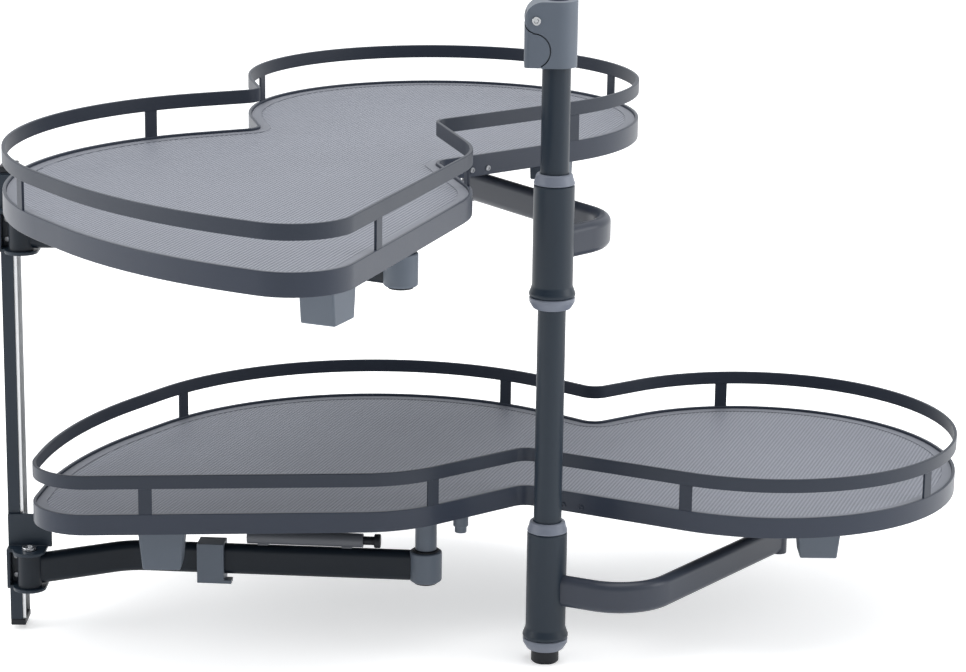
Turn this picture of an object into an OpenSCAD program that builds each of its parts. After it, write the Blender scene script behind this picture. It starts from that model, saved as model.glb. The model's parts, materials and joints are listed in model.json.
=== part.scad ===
// Blind-corner swing-out fitting: two kidney-shaped trays on a telescopic post.
// Each tray is the coupler of a four-bar linkage: a swing arm turns on the post and
// carries the tray at the small lobe, and a cranked guide arm leads the big lobe from
// a bracket on the wall rail.  The lower tray is stored, the upper one is swung out.
// Origin: centre of the post's foot on the cabinet floor.  X right, Y back, Z up.

/* [Levels] */
// Height from one tray to the next
level_pitch = 316; // [260:1:420]
// Turn of the upper swing arm out of the cabinet
open_turn = 71; // [0:1:74]

/* [Post] */
// Outer diameter of the post tube
post_d = 25; // [22:0.5:30]
// Wall of the post tube
post_wall = 1.5; // [1:0.1:2.2]
// Height of the post with the telescope pushed in
post_h = 600; // [560:1:700]
// Outer diameter of the inner telescope tube
inner_d = 18; // [14:0.5:20]
// Wall of the inner telescope tube
inner_wall = 1.5; // [1:0.1:2]
// Length of the inner telescope tube
inner_len = 262; // [220:1:300]
// Height of the foot plug below the tube
foot_h = 13; // [8:0.5:20]
// Diameter of the floor pin hole in the foot
foot_bore_d = 8; // [6:0.5:12]
// Depth of the floor pin hole
foot_bore_h = 10; // [6:0.5:12]

/* [Sleeve] */
// Outer diameter of the turning sleeve
sleeve_d = 36; // [33:0.5:42]
// Wall of the turning sleeve
sleeve_wall = 2.5; // [1.5:0.1:2.8]
// Height of the turning sleeve
sleeve_h = 99.5; // [80:0.5:110]
// Diameter of the flared foot of the sleeve
flare_d = 41; // [37:0.5:46]
// Height of the flared foot of the sleeve
flare_h = 10; // [6:0.5:14]
// Length of each plain bearing bush
bush_h = 22; // [14:0.5:30]
// Height of the support collar under the sleeve
low_collar_h = 11; // [8:0.5:14]
// Height of the cover collar on the sleeve
top_collar_h = 9.5; // [7:0.5:13]

/* [Swing arm] */
// Distance from the post axis to the tray pivot
arm_reach = 272; // [240:1:300]
// Heading of the stored arm seen from above
arm_heading = 34.8; // [30:0.1:40]
// Height of the flat-oval arm tubes
arm_tube_h = 29; // [24:0.5:34]
// Thickness of the flat-oval arm tubes
arm_tube_t = 14; // [12:0.5:18]
// Wall of the flat-oval arm tubes
arm_tube_wall = 2; // [1.2:0.1:3]
// Elbow of the swing arm along the line to the tray pivot
arm_elbow_x = 45; // [38:1:60]
// Elbow of the swing arm across that line
arm_elbow_y = -76; // [-84:1:-66]
// Bend radius of the swing arm
arm_bend_r = 53; // [40:1:58]
// Height of the swing arm's middle above the collar foot
arm_rise = 56.5; // [50:0.5:62]
// Diameter of the tray pivot pin
pivot_d = 12; // [9:0.5:14]

/* [Guide arm] */
// Wall pivot from the post, sideways
wall_pivot_x = -472; // [-490:1:-460]
// Wall pivot from the post, backwards
wall_pivot_y = 46; // [40:1:54]
// Guide pivot of the stored tray, sideways
guide_pivot_x = -110; // [-118:1:-104]
// Guide pivot of the stored tray, backwards
guide_pivot_y = 73; // [66:1:78]
// Crank of the guide arm along its line
guide_elbow_x = 90; // [78:1:105]
// Crank of the guide arm beside its line
guide_elbow_y = 39; // [32:1:46]
// Bend radius of the guide arm
guide_bend_r = 60; // [40:1:80]
// Height of the guide arm's middle above the collar foot
guide_rise = 51; // [46:0.5:55]
// Diameter of the tray-end knuckle
knuckle_d = 30; // [26:0.5:34]
// Diameter of the wall-end barrel
barrel_d = 22; // [18:0.5:24]
// Height of the wall-end barrel
barrel_h = 31; // [30:0.5:36]
// Diameter of the wall pivot pin
wall_pin_d = 8; // [6:0.5:10]
// Length of the clamp clip on the guide arm
clip_len = 25; // [18:0.5:32]
// Distance of the clamp clip from the crank
clip_from_crank = 64; // [50:1:90]

/* [Damper] */
// Diameter of the soft-stop damper
damper_d = 13; // [10:0.5:15]
// Length of the soft-stop damper
damper_len = 108; // [90:1:120]
// Distance of the damper's plunger end from the guide pivot
damper_end = 58; // [57:1:66]
// Travel of the damper's plunger
plunger_travel = 10; // [6:0.5:14]

/* [Tray] */
// Thickness of the flat-bar rim and gallery
bar_t = 3; // [2:0.1:4]
// Height of the rim
rim_h = 19; // [17.5:0.5:26]
// Height of the gallery bar
gallery_h = 12.5; // [8:0.5:18]
// Open height between rim and gallery
gallery_gap = 23.5; // [14:0.5:40]
// Width of each upright
upright_w = 12; // [8:0.5:16]
// Thickness of the tray board
board_t = 14; // [10:0.5:14.5]
// Thickness of the mat inside its border
mat_t = 1.4; // [0.8:0.1:2]
// Height of the mat's border above its middle
mat_border_h = 0.8; // [0.3:0.1:1.2]
// Width of the mat's smooth border
mat_border_w = 9; // [5:0.5:14]
// Height of the tray's underside above the collar foot
tray_rise = 109; // [105:0.5:120]

/* [Tray outline] */
// Radius of the front corner of the big lobe
corner_r = 50; // [40:1:60]
// Radius of the bend in the front edge
front_bend_r = 120; // [100:1:130]
// Radius of the small lobe
small_lobe_r = 185; // [175:1:188]
// Radius of the back of the big lobe
big_lobe_r = 257; // [253:1:259]
// Radius of the flank of the big lobe
flank_r = 421; // [400:1:450]
// Radius of the two kinks between the lobes
kink_r = 16; // [10:1:18]

/* [Under the tray] */
// Width of each support block at the board
block_w = 44; // [36:1:52]
// Width of each support block at its foot
block_foot_w = 34; // [26:1:40]
// Depth of each support block
block_depth = 30; // [22:1:38]
// Height of each support block
block_h = 45; // [30:1:46]
// Diameter of the stop buffer
buffer_d = 14; // [10:0.5:18]
// Length of the stop buffer
buffer_len = 22; // [14:0.5:28]

/* [Clamp head] */
// Outer diameter of the clamp head round the post
head_d = 35; // [33:0.5:40]
// Height of the clamp head
head_h = 57; // [50:0.5:64]
// Reach of the clamp head's lobe beside the post
head_reach = 28.5; // [26:0.5:31]
// Radius of the clamp lever's round edge
lever_r = 14.8; // [12:0.1:15.5]
// Diameter of the lever's pivot screw
lever_screw_d = 4; // [3:0.5:5]

/* [Wall rail] */
// Length of the wall rail
rail_len = 420; // [380:1:560]
// Width of the rail's flanges
rail_w = 11; // [10:0.5:13]
// Depth of the rail against the cabinet wall
rail_depth = 30; // [26:1:50]
// Wall of the rail
rail_wall = 2; // [1.2:0.1:3]
// Wall of the steel liner inside the rail
liner_wall = 1.2; // [0.8:0.1:2]
// How far the liner's flanges stand out of the rail
liner_show = 2.6; // [1:0.1:4]
// Height of the rail's lower end above the floor
rail_rise = 10; // [4:1:30]
// Diameter of the rail's screw holes
rail_hole_d = 5; // [4:0.5:7]
// Head diameter of the screws that hold the brackets
bracket_screw_d = 5.2; // [4:0.1:6]
// Thickness of the pivot brackets
bracket_t = 3; // [2:0.1:4]

/* [Hidden] */
$fn = 64;

// Clearances, named by what they part.
running_fit = 0.05;      // round pieces that turn or slide in each other, on the radius
seat_gap = 0.05;         // fixed pieces that stand against a curved seat
sliding_gap = 0.3;       // faces of two moving pieces that pass each other
lever_gap = 0.8;         // dark line round the clamp lever
cut = 1;                 // how far a cutter runs past the face it opens

// Colours.
graphite = "#3a4049";
graphite_light = "#474d56";
blue_grey = "#6b7480";
mat_grey = "#8b8b90";
steel = "#c9ccd0";
black = "#1d1f22";

// Level heights: the foot of each support collar.
lower_z = foot_h;
upper_z = foot_h + level_pitch;

// Fixed points of the linkage, seen from above with the tray stored.
arm_tip = arm_reach * [cos(arm_heading), sin(arm_heading)];
wall_pivot = [wall_pivot_x, wall_pivot_y];
guide_pivot = [guide_pivot_x, guide_pivot_y];
guide_reach = norm(guide_pivot - wall_pivot);
coupler_len = norm(guide_pivot - arm_tip);

function heading(v) = atan2(v.y, v.x);
function turned(v, a) = [v.x * cos(a) - v.y * sin(a), v.x * sin(a) + v.y * cos(a)];
function wrapped(a) = a - 360 * floor((a + 180) / 360);
function tip_at(turn) = turned(arm_tip, turn);
// Heading of the line from the tray pivot to the guide pivot when the arm has turned.
function coupler_heading(turn) =
    let (v = wall_pivot - tip_at(turn), d = norm(v))
    heading(v) + acos((coupler_len ^ 2 + d ^ 2 - guide_reach ^ 2) / (2 * coupler_len * d));
function tray_turn(turn) = wrapped(coupler_heading(turn) - coupler_heading(0));
function guide_at(turn) = tip_at(turn) + turned(guide_pivot - arm_tip, tray_turn(turn));
function guide_turn(turn) =
    wrapped(heading(guide_at(turn) - wall_pivot) - heading(guide_pivot - wall_pivot));

// The tray's outline is a belt round discs: centre, radius and side, where +1 is an
// outside bend and -1 an inside bend.  Centres are seen from the post, tray stored.
front_bend_at = [-175, 110];
front_kink_at = [-18.5, 62];
small_lobe_at = [204, 176];
back_kink_at = [51, 313];
big_lobe_at = [-157, 131];
flank_bearing = -47.15;  // direction of the flank's centre from the big lobe's
flank_play = 5.83;       // keeps the big lobe's circle from lying wholly inside the flank's
flank_at = big_lobe_at
    + (flank_r - big_lobe_r + flank_play) * [cos(flank_bearing), sin(flank_bearing)];
corner_bearing = 177.8;  // direction of the front corner's centre from the flank's
corner_play = 0.4;       // keeps the corner's circle from lying wholly inside the flank's
corner_at = flank_at + (flank_r - corner_r + corner_play) * [cos(corner_bearing), sin(corner_bearing)];
DISCS = [
    [corner_at, corner_r, 1], [front_bend_at, front_bend_r, 1], [front_kink_at, kink_r, -1],
    [small_lobe_at, small_lobe_r, 1], [back_kink_at, kink_r, -1], [big_lobe_at, big_lobe_r, 1],
    [flank_at, flank_r, 1]
];
chord = 12;              // longest side of the outline's arcs
finest_step = 2.5;       // smallest turn between two points of an arc
coarsest_step = 9;       // largest turn between two points of an arc

function disc(i) = DISCS[(i + len(DISCS)) % len(DISCS)];
// Heading of the straight stretch that leaves disc i.
function leave(i) =
    let (a = disc(i), b = disc(i + 1), v = b[0] - a[0])
    heading(v) - asin((b[2] * b[1] - a[2] * a[1]) / norm(v));
function bend(i) =
    let (t = leave(i) - leave(i - 1 + len(DISCS)), around = t - 360 * floor(t / 360))
    disc(i)[2] > 0 ? around : around - 360;
function on_disc(i, h, inset) =
    let (d = disc(i)) d[0] + (d[2] * d[1] - inset) * [sin(h), -cos(h)];
function arc_steps(i) =
    let (fine = chord / disc(i)[1] * 180 / PI, step = min(coarsest_step, max(finest_step, fine)))
    ceil(abs(bend(i)) / step);
function outline(inset) = [
    for (i = [0 : len(DISCS) - 1])
        let (n = arc_steps(i), start = leave(i - 1 + len(DISCS)))
            for (k = [0 : n]) on_disc(i, start + bend(i) * k / n, inset)
];

// Uprights stand on the outline: disc number and share of its arc, or past it on the
// straight stretch that leaves the disc, as a distance.
UPRIGHTS = [
    [0, 1, 52], [1, 0.95, 0], [2, 1, 150], [3, 0.32, 0], [3, 0.88, 0], [5, 0.12, 0], [5, 0.93, 0]
];
function upright_heading(u) = leave(u[0] - 1 + len(DISCS)) + bend(u[0]) * u[1];
function upright_at(u) =
    on_disc(u[0], upright_heading(u), bar_t / 2)
    + u[2] * [cos(upright_heading(u)), sin(upright_heading(u))];

// Heights within a level, above the foot of its support collar.
sleeve_z = low_collar_h;
cover_z = sleeve_z + sleeve_h;
arm_top = arm_rise + arm_tube_h / 2;
guide_top = guide_rise + arm_tube_h / 2;
board_z = tray_rise + 0.5;
mat_z = board_z + board_t;
gallery_z = tray_rise + rim_h + gallery_gap;
hub_plate_t = 2.5;
boss_plate_t = 3;
hub_d = pivot_d + 14;
hub_plate_d = 84;
boss_d = 20;
boss_plate_w = 38;
knuckle_cap_t = 2;
washer_t = 1.5;

// Support blocks and buffer, seen from the post with the tray stored.
front_block_at = [-347, 24];
side_block_at = [252, 84];
buffer_at = guide_pivot + [32, -10];
buffer_pad_h = 6;

// Post head.
head_z = post_h - head_h;
post_top = post_h - 22;
inner_top = post_h - 3;
inner_guide_h = 20;
lever_pivot = [-18.5, post_h - 16];
lobe_r = 10;
shoulder_r = 16;
lever_foot = [-21, head_z + 15];
lever_wall = 4;
head_half = head_d / 2;
tongue_t = 8;
screw_head_d = 7.5;
screw_head_h = 2;

// Wall rail: its back lies on the cabinet's side wall.
rail_x = wall_pivot_x - 21;
rail_y = wall_pivot_y + 15;
bracket_half = barrel_h / 2 + sliding_gap;
ear_r = 15;
leaf_rise = 30;
leaf_w = 40;
rail_hole_inset = 30;
rail_hole_zs = [rail_hole_inset, rail_len - rail_hole_inset];
bracket_screw_h = 1.5;
bracket_screw_pitch = 18;
cap_h = 6;
pin_head_d = 13;
pin_head_h = 3;

module stadium(h, t) {
    square([t, h - t], center = true);
    for (s = [-1, 1]) translate([0, s * (h - t) / 2]) circle(d = t);
}

// Flat-oval section of the arm tubes, shrunk by inset.
module tube_section(inset) stadium(arm_tube_h - 2 * inset, arm_tube_t - 2 * inset);

// A stretch of section from a to b, at height 0.
module straight_run(a, b, inset)
    translate([a.x, a.y, 0]) rotate([90, 0, 90 + heading(b - a)])
        linear_extrude(norm(b - a)) tube_section(inset);

// A tube from a to b with one bend of radius r at the elbow e.  The bend stands a
// little proud of the straight ends, which reach into it.
bend_lap = 0.4;
bend_swell = 0.15;
module bent_run(a, e, b, r, inset) {
    u = (e - a) / norm(e - a);
    w = (b - e) / norm(b - e);
    turn = wrapped(heading(w) - heading(u));
    side = sign(turn);
    cut_back = r * tan(abs(turn) / 2);
    p = e - cut_back * u;
    q = e + cut_back * w;
    centre = p + side * r * [-u.y, u.x];
    straight_run(a, p + bend_lap * u, inset);
    straight_run(q - bend_lap * w, b, inset);
    translate([centre.x, centre.y, 0])
        rotate([0, 0, side > 0 ? heading(u) - 90 : heading(w) + 90])
            rotate_extrude(angle = abs(turn), $fn = 128) translate([r, 0]) tube_section(inset - bend_swell);
}

module at(p, z) translate([p.x, p.y, z]) children();

// Pose of each moving group on its level.
module lower_level() translate([0, 0, lower_z]) children();
module upper_level() translate([0, 0, upper_z]) children();
module upper_arm_pose() upper_level() rotate([0, 0, open_turn]) children();
module upper_tray_pose()
    upper_level() at(tip_at(open_turn), 0) rotate([0, 0, tray_turn(open_turn)])
        translate([-arm_tip.x, -arm_tip.y, 0]) children();
module upper_guide_pose()
    upper_level() at(wall_pivot, 0) rotate([0, 0, guide_turn(open_turn)])
        translate([-wall_pivot.x, -wall_pivot.y, 0]) children();

// ---- Post ----

module post_tube()
    color(graphite) difference() {
        translate([0, 0, foot_h]) cylinder(d = post_d, h = post_top - foot_h);
        translate([0, 0, foot_h - cut])
            cylinder(d = post_d - 2 * post_wall, h = post_top - foot_h + 2 * cut);
    }

module post_foot() {
    chamfer = 1.5;
    spigot_h = 18;
    spigot_r = post_d / 2 - post_wall - seat_gap;
    notch_w = 4;
    color(black) difference() {
        rotate_extrude() polygon([
            [0, 0], [post_d / 2 - chamfer, 0], [post_d / 2, chamfer], [post_d / 2, foot_h],
            [spigot_r, foot_h], [spigot_r, foot_h + spigot_h], [0, foot_h + spigot_h]
        ]);
        translate([0, 0, -cut]) cylinder(d = foot_bore_d, h = foot_bore_h + cut);
        translate([-post_d, -post_d / 2 - cut, -cut])
            cube([2 * post_d, 2 + cut, notch_w + cut]);
    }
}

module inner_tube()
    color(steel) difference() {
        translate([0, 0, inner_top - inner_len]) cylinder(d = inner_d, h = inner_len);
        translate([0, 0, inner_top - inner_len - cut])
            cylinder(d = inner_d - 2 * inner_wall, h = inner_len + 2 * cut);
    }

// Guide ring on the lower end of the inner tube, running in the post tube.
module inner_tube_guide()
    color(black) translate([0, 0, inner_top - inner_len]) difference() {
        cylinder(d = post_d - 2 * post_wall - 2 * running_fit, h = inner_guide_h);
        translate([0, 0, -cut]) cylinder(d = inner_d + 2 * seat_gap, h = inner_guide_h + 2 * cut);
    }

// ---- Clamp head and lever ----

// Side view of the lever, grown by the gap round it.
module lever_side(grow) {
    difference() {
        union() {
            translate(lever_foot) circle(r = lever_r + grow);
            translate([-head_reach - 2 * grow - cut, head_z - 2 * cut * sign(grow)])
                square([head_reach + lever_foot.x + 2 * grow + cut + lever_r / 2,
                        lever_foot.y - head_z + 2 * cut * sign(grow)]);
            translate([-head_reach - 2 * grow - cut, lever_foot.y])
                square([head_reach + lever_foot.x + 2 * grow + cut, lever_pivot.y - lever_foot.y]);
        }
        translate(lever_pivot) circle(r = lobe_r + lever_gap - grow);
    }
}

// Plan of the head with its lobe.
module head_plan() {
    edge_r = 5;
    circle(r = head_half);
    translate([-head_reach + edge_r, -head_half])
        square([head_reach - edge_r, 2 * head_half]);
    translate([-head_reach, -head_half + edge_r])
        square([edge_r, 2 * head_half - 2 * edge_r]);
    for (s = [-1, 1])
        translate([-head_reach + edge_r, s * (head_half - edge_r)]) circle(r = edge_r);
}

module side_plate(y0, y1)
    translate([0, y1, 0]) rotate([90, 0, 0]) linear_extrude(y1 - y0) children();

module clamp_head()
    color(blue_grey) difference() {
        intersection() {
            side_plate(-head_half - cut, head_half + cut) head_side();
            translate([0, 0, head_z]) linear_extrude(head_h) head_plan();
        }
        // Pockets for the lever's two cheeks and its back wall.
        for (s = [-1, 1]) {
            inner = head_half - lever_wall - sliding_gap;
            side_plate(s > 0 ? inner : -head_half - cut, s > 0 ? head_half + cut : -inner)
                lever_side(lever_gap);
        }
        side_plate(-head_half - cut, head_half + cut) intersection() {
            lever_side(lever_gap);
            translate([-head_reach - 2 * cut, head_z - 2 * cut])
                square([lever_wall + sliding_gap + 2 * cut, head_h]);
        }
        // Slot for the lever's tongue.
        translate([-head_reach - cut, -tongue_t / 2 - sliding_gap, head_z - cut])
            cube([head_reach + cut - post_d / 2 - 1, tongue_t + 2 * sliding_gap,
                  lever_pivot.y + lobe_r / 2 + 2 - head_z + cut]);
        // Bores for the post tube, the inner tube and the pivot screw.
        translate([0, 0, head_z - cut])
            cylinder(d = post_d + 2 * seat_gap, h = post_top - head_z + cut);
        cylinder(d = inner_d + 2 * running_fit, h = post_h + cut);
        screw_path(lever_screw_d / 2 + seat_gap);
    }

// Side view of the head: x across, y up.
module head_side() {
    translate([0, head_z]) square([head_half, head_h]);
    translate([-head_reach + shoulder_r, post_h - shoulder_r]) circle(r = shoulder_r);
    translate([-head_reach + shoulder_r, post_h - shoulder_r])
        square([head_reach - shoulder_r, shoulder_r]);
    translate([-head_reach, head_z]) square([head_reach, post_h - shoulder_r - head_z]);
}

module screw_path(r)
    translate([lever_pivot.x, head_half + cut, lever_pivot.y]) rotate([90, 0, 0])
        cylinder(r = r, h = 2 * head_half + 2 * cut);

module clamp_lever()
    color(blue_grey) difference() {
        union() {
            for (s = [-1, 1])
                intersection() {
                    side_plate(s > 0 ? head_half - lever_wall : -head_half,
                               s > 0 ? head_half : -head_half + lever_wall) lever_side(0);
                    translate([0, 0, head_z]) linear_extrude(head_h) head_plan();
                }
            intersection() {
                side_plate(-head_half, head_half) intersection() {
                    lever_side(0);
                    translate([-head_reach, head_z]) square([lever_wall, head_h]);
                }
                translate([0, 0, head_z]) linear_extrude(head_h) head_plan();
            }
            side_plate(-tongue_t / 2, tongue_t / 2) tongue_side();
        }
        screw_path(lever_screw_d / 2 + running_fit);
    }

module tongue_side() {
    tongue_x = -post_d / 2 - 2;
    translate(lever_pivot) circle(d = lever_screw_d + 5);
    translate([-head_reach + lever_wall / 2, head_z])
        square([head_reach - lever_wall / 2 + tongue_x, lever_foot.y - head_z]);
    translate([-head_reach + lever_wall / 2, lever_foot.y - cut])
        square([head_reach - lever_wall / 2 + tongue_x - 3, lever_pivot.y - lever_foot.y + cut]);
}

module lever_screw()
    color(steel) translate([lever_pivot.x, 0, lever_pivot.y]) rotate([90, 0, 0]) difference() {
        union() {
            translate([0, 0, -head_half]) cylinder(d = lever_screw_d, h = 2 * head_half);
            translate([0, 0, head_half]) cylinder(d = screw_head_d, h = screw_head_h);
        }
        translate([0, 0, head_half + screw_head_h - 1.5])
            cylinder(d = screw_head_d * 0.55, h = 1.5 + cut, $fn = 6);
    }

// ---- Collars, sleeve and bushes, at height 0 of a level ----

// The support collar widens upwards to the sleeve's flare.
module support_collar()
    color(blue_grey) difference() {
        rotate_extrude() polygon([
            [0, 0], [post_d / 2 + 3.5, 0], [post_d / 2 + 4.5, 1],
            [flare_d / 2 - 0.5, low_collar_h * 0.55], [flare_d / 2 - 0.2, low_collar_h - 1],
            [flare_d / 2 - 1.2, low_collar_h - sliding_gap], [0, low_collar_h - sliding_gap]
        ]);
        translate([0, 0, -cut]) cylinder(d = post_d + 2 * seat_gap, h = low_collar_h + 2 * cut);
    }

// The cover collar narrows upwards from the sleeve to the tube.
module cover_collar()
    color(blue_grey) translate([0, 0, cover_z + sliding_gap]) difference() {
        rotate_extrude() polygon([
            [0, 0], [sleeve_d / 2, 0], [sleeve_d / 2, 1.5], [sleeve_d / 2 - 1.5, top_collar_h * 0.6],
            [post_d / 2 + 3.5, top_collar_h - 1], [post_d / 2 + 2.5, top_collar_h], [0, top_collar_h]
        ]);
        translate([0, 0, -cut]) cylinder(d = post_d + 2 * seat_gap, h = top_collar_h + 2 * cut);
    }

module sleeve()
    color(graphite_light) translate([0, 0, sleeve_z]) difference() {
        rotate_extrude() polygon([
            [0, 0], [flare_d / 2 - 1, 0], [flare_d / 2, 1], [flare_d / 2, flare_h * 0.3],
            [flare_d / 2 - 0.8, flare_h * 0.5], [sleeve_d / 2, flare_h],
            [sleeve_d / 2, sleeve_h - 1], [sleeve_d / 2 - 1, sleeve_h], [0, sleeve_h]
        ]);
        translate([0, 0, -cut]) cylinder(d = sleeve_d - 2 * sleeve_wall, h = sleeve_h + 2 * cut);
    }

module bushes()
    color(black) for (z = [sleeve_z, cover_z - bush_h])
        translate([0, 0, z]) difference() {
            cylinder(d = sleeve_d - 2 * sleeve_wall - 2 * seat_gap, h = bush_h);
            translate([0, 0, -cut]) cylinder(d = post_d + 2 * running_fit, h = bush_h + 2 * cut);
        }

// ---- Swing arm ----

arm_elbow = turned([arm_elbow_x, arm_elbow_y], arm_heading);
arm_tip_d = arm_tube_t + 3;

module swing_arm()
    color(graphite_light) translate([0, 0, arm_rise]) difference() {
        union() {
            bent_run([0, 0], arm_elbow, arm_tip, arm_bend_r, 0);
            at(arm_tip, -arm_tube_h / 2) cylinder(d = arm_tip_d, h = arm_tube_h);
        }
        difference() {
            bent_run([0, 0], arm_elbow, arm_tip, arm_bend_r, arm_tube_wall);
            at(arm_tip, -arm_tube_h) cylinder(d = arm_tip_d, h = 2 * arm_tube_h);
        }
        translate([0, 0, -arm_tube_h]) cylinder(d = sleeve_d + 2 * seat_gap, h = 2 * arm_tube_h);
    }

// Pin that stands up from the arm's end into the tray's hub.
module tray_pin()
    color(steel) at(arm_tip, arm_top)
        cylinder(d = pivot_d, h = board_z - hub_plate_t - arm_top);

// ---- Guide arm ----

guide_heading = heading(guide_pivot - wall_pivot);
guide_elbow = wall_pivot + turned([guide_elbow_x, guide_elbow_y], guide_heading);
guide_run = (guide_pivot - guide_elbow) / norm(guide_pivot - guide_elbow);
guide_run_heading = heading(guide_run);

module guide_arm()
    color(graphite) translate([0, 0, guide_rise]) difference() {
        union() {
            bent_run(wall_pivot, guide_elbow, guide_pivot, guide_bend_r, 0);
            at(wall_pivot, -barrel_h / 2) cylinder(d = barrel_d, h = barrel_h);
        }
        difference() {
            bent_run(wall_pivot, guide_elbow, guide_pivot, guide_bend_r, arm_tube_wall);
            at(wall_pivot, -barrel_h) cylinder(d = barrel_d, h = 2 * barrel_h);
        }
        at(wall_pivot, -barrel_h) cylinder(d = wall_pin_d + 2 * running_fit, h = 2 * barrel_h);
        at(guide_pivot, -barrel_h) cylinder(d = knuckle_d + 2 * seat_gap, h = 2 * barrel_h);
    }

module knuckle()
    color(blue_grey) at(guide_pivot, guide_rise - arm_tube_h / 2)
        rotate_extrude() polygon([
            [0, 0], [knuckle_d / 2 - 1.5, 0], [knuckle_d / 2, 1.5],
            [knuckle_d / 2, arm_tube_h - 1], [knuckle_d / 2 - 1, arm_tube_h], [0, arm_tube_h]
        ]);

// Black washer on top of the knuckle and black cap under it.
module knuckle_caps()
    color(black) {
        at(guide_pivot, guide_top) cylinder(d = boss_d + 4, h = washer_t);
        at(guide_pivot, guide_rise - arm_tube_h / 2 - knuckle_cap_t)
            cylinder(d = boss_d + 2, h = knuckle_cap_t);
    }

// Clip that wraps the guide arm, with a catch lip at its foot.
module arm_clip() {
    side = 4;
    foot = 7;
    lip = 7;
    color(blue_grey) at(guide_elbow + guide_run * clip_from_crank, guide_rise)
        rotate([0, 0, guide_run_heading]) {
            rotate([90, 0, 90]) linear_extrude(clip_len) difference() {
                translate([-arm_tube_t / 2 - side, -arm_tube_h / 2 - foot])
                    square([arm_tube_t + 2 * side, arm_tube_h + foot + side / 2]);
                tube_section(-seat_gap);
            }
            translate([clip_len, -arm_tube_t / 2 - side, -arm_tube_h / 2 - foot])
                rotate([90, 0, 90]) linear_extrude(lip)
                    square([arm_tube_t / 2 + side, foot / 2]);
        }
}

damper_z = guide_top + 1 + damper_d / 2;
plunger_d = damper_d - 5;
plunger_len = 26;

module along_guide(from_pivot, z)
    at(guide_pivot - guide_run * from_pivot, z) rotate([0, 0, guide_run_heading])
        rotate([0, 90, 0]) children();

// Soft-stop damper on two saddles above the guide arm.
module damper() {
    end_play = 1;
    bore_h = plunger_travel + plunger_len / 2 + end_play;
    saddle_w = 10;
    head = 8;
    color(steel) difference() {
        union() {
            along_guide(damper_end + damper_len, damper_z) cylinder(d = damper_d, h = damper_len);
            for (s = [10, damper_len - 10 - saddle_w])
                at(guide_pivot - guide_run * (damper_end + damper_len - s), 0)
                    rotate([0, 0, guide_run_heading])
                        translate([0, -damper_d / 4, guide_top])
                            cube([saddle_w, damper_d / 2, damper_z - guide_top]);
        }
        along_guide(damper_end + bore_h, damper_z)
            cylinder(d = plunger_d + 2 * running_fit, h = bore_h + head);
    }
}

module plunger()
    color(black) along_guide(damper_end + plunger_len / 2, damper_z) {
        cylinder(d = plunger_d, h = plunger_len);
        translate([0, 0, plunger_len / 2 + plunger_travel + sliding_gap]) cylinder(
            d = damper_d, h = plunger_len / 2 - plunger_travel - sliding_gap + 3);
    }

// ---- Wall rail and brackets ----

module wall_rail()
    color(graphite) difference() {
        translate([rail_x, rail_y, rail_rise]) cube([rail_w, rail_depth, rail_len]);
        translate([rail_x + rail_wall, rail_y + rail_wall, rail_rise - cut])
            cube([rail_w, rail_depth - 2 * rail_wall, rail_len + 2 * cut]);
        rail_hole_cuts();
    }

// Screw holes through the rail and its liner, to the cabinet's side wall.
module rail_hole_cuts()
    for (z = rail_hole_zs)
        translate([rail_x - cut, rail_y + rail_depth / 2, rail_rise + z])
            rotate([0, 90, 0]) cylinder(d = rail_hole_d, h = rail_wall + liner_wall + 3 * cut);

// Steel channel inside the rail, whose flanges stand out of it.
module rail_liner() {
    inset = rail_wall + seat_gap;
    color(steel) difference() {
        translate([rail_x + inset, rail_y + inset, rail_rise])
            cube([rail_w + liner_show - inset, rail_depth - 2 * inset, rail_len]);
        translate([rail_x + inset + liner_wall, rail_y + inset + liner_wall, rail_rise - cut])
            cube([rail_w + liner_show, rail_depth - 2 * inset - 2 * liner_wall, rail_len + 2 * cut]);
        rail_hole_cuts();
    }
}

module rail_end_caps()
    color(black) for (z = [rail_rise - cap_h, rail_rise + rail_len])
        translate([rail_x, rail_y, z]) cube([rail_w + liner_show, rail_depth, cap_h]);

// Screws that hold the two brackets to the rail's front flange.
module rail_screws()
    color(steel) for (level = [lower_z, upper_z], s = [-1, 1])
        translate([rail_x + (bracket_t + rail_w) / 2, rail_y - bracket_t,
                   level + guide_rise + s * bracket_screw_pitch / 2])
            rotate([90, 0, 0]) cylinder(d = bracket_screw_d, h = bracket_screw_h);

// C-shaped bracket: two ears round the wall pin, a cheek, and a leaf behind them.
module bracket() {
    ear_back = rail_y - bracket_t;
    z0 = guide_rise - bracket_half - bracket_t;
    full_h = 2 * (bracket_half + bracket_t);
    leaf_r = 16;
    color(graphite) difference() {
        union() {
            for (z = [z0, guide_rise + bracket_half]) translate([0, 0, z]) linear_extrude(bracket_t) {
                translate(wall_pivot) circle(r = ear_r);
                translate([rail_x, wall_pivot_y]) square([wall_pivot_x - rail_x, rail_y - wall_pivot_y]);
                translate([wall_pivot_x, wall_pivot_y]) square([ear_r, rail_y - wall_pivot_y]);
            }
            translate([rail_x, wall_pivot_y, z0]) cube([bracket_t, rail_y - wall_pivot_y, full_h]);
            translate([rail_x, ear_back, z0]) cube([rail_w, bracket_t, full_h]);
            translate([0, rail_y, z0 + full_h - cut]) rotate([90, 0, 0]) linear_extrude(bracket_t) {
                translate([rail_x, 0]) square([leaf_w - leaf_r, leaf_rise + cut]);
                translate([rail_x, 0]) square([leaf_w, leaf_rise + cut - leaf_r]);
                translate([rail_x + leaf_w - leaf_r, leaf_rise + cut - leaf_r]) circle(r = leaf_r);
            }
        }
        at(wall_pivot, 0) cylinder(d = wall_pin_d + 2 * seat_gap, h = 2 * tray_rise);
    }
}

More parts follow.
